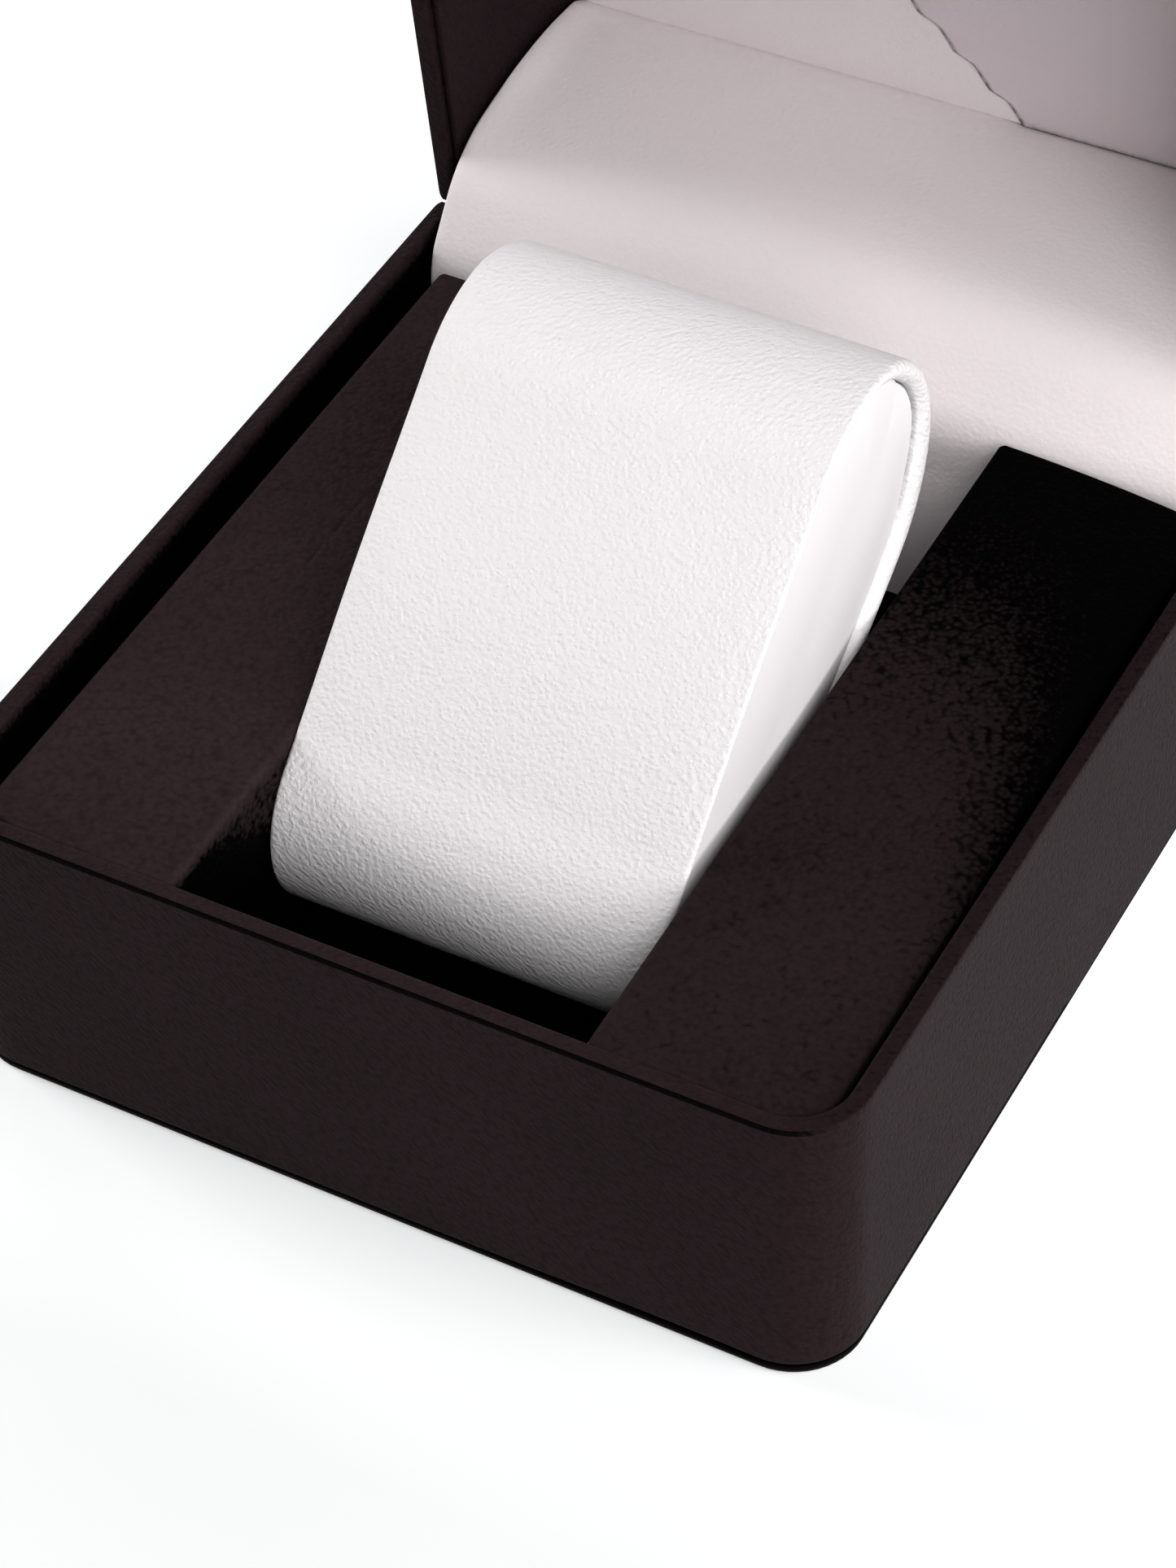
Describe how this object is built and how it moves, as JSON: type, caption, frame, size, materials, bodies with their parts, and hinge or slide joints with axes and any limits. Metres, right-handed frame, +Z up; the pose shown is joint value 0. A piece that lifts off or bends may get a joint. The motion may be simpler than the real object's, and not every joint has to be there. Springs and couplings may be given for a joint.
{
  "type": "jewelry box",
  "caption": "Hinged leatherette presentation box for a watch or bracelet, standing open, with a slanted pillow between raised blocks.",
  "frame": {"origin": "centre of the base's underside, on the surface it rests on", "axes": "+X to the right seen from the front, +Y to the back where the hinge is, +Z up"},
  "size_m": [0.11, 0.1541, 0.1596],
  "materials": {
    "dark_leatherette": "fine grained polyurethane leatherette, dark brown, low sheen",
    "greyboard": "raw greyboard",
    "dark_paperboard": "board covered with dark grained paper",
    "dark_flock": "short dark flock",
    "foam": "soft foam",
    "pale_leatherette": "pale warm grey leatherette, faint grain, matt",
    "white_leatherette": "white fine-pebbled leatherette, soft sheen",
    "nickel_steel": "nickel plated pressed steel",
    "spring_steel": "bright spring steel"
  },
  "bodies": {
    "base": {"base_board": "greyboard", "base_skin": "dark_leatherette", "bottom_board": "dark_paperboard", "bottom_sheet": "dark_flock", "filler_board": "greyboard", "block_board_left": "greyboard", "block_board_right": "greyboard", "block_skin_left": "dark_leatherette", "block_skin_right": "dark_leatherette", "well_pad": "foam", "rear_lining": "pale_leatherette", "hinge_base_leaf_left": "nickel_steel", "hinge_base_leaf_right": "nickel_steel", "hinge_pin_left": "spring_steel", "hinge_pin_right": "spring_steel", "snap_spring_left": "spring_steel", "snap_spring_right": "spring_steel", "base_rivets": "nickel_steel"},
    "lid": {"lid_board": "greyboard", "lid_skin": "dark_leatherette", "lid_wall_lining": "dark_leatherette", "lid_pad_board": "greyboard", "lid_pad": "pale_leatherette", "lid_back_lining": "pale_leatherette", "hinge_lid_leaf_left": "nickel_steel", "hinge_lid_leaf_right": "nickel_steel", "lid_rivets": "nickel_steel"},
    "pillow": {"pillow_wrap": "white_leatherette", "pillow_former": "greyboard", "pillow_core": "foam", "pillow_side_board_left": "greyboard", "pillow_side_board_right": "greyboard", "pillow_side_cover_left": "white_leatherette", "pillow_side_cover_right": "white_leatherette"}
  },
  "joints": [
    {"name": "lid_hinge", "type": "hinge", "parent": "base", "child": "lid", "pos_m": [0, 0.0573, 0.0396], "axis": [1, 0, 0], "range_deg": [0, 82.6]},
    {"name": "pillow_lift", "type": "slide", "parent": "base", "child": "pillow", "axis": [0, 0, -1], "range_m": [-0.09, 0]}
  ]
}
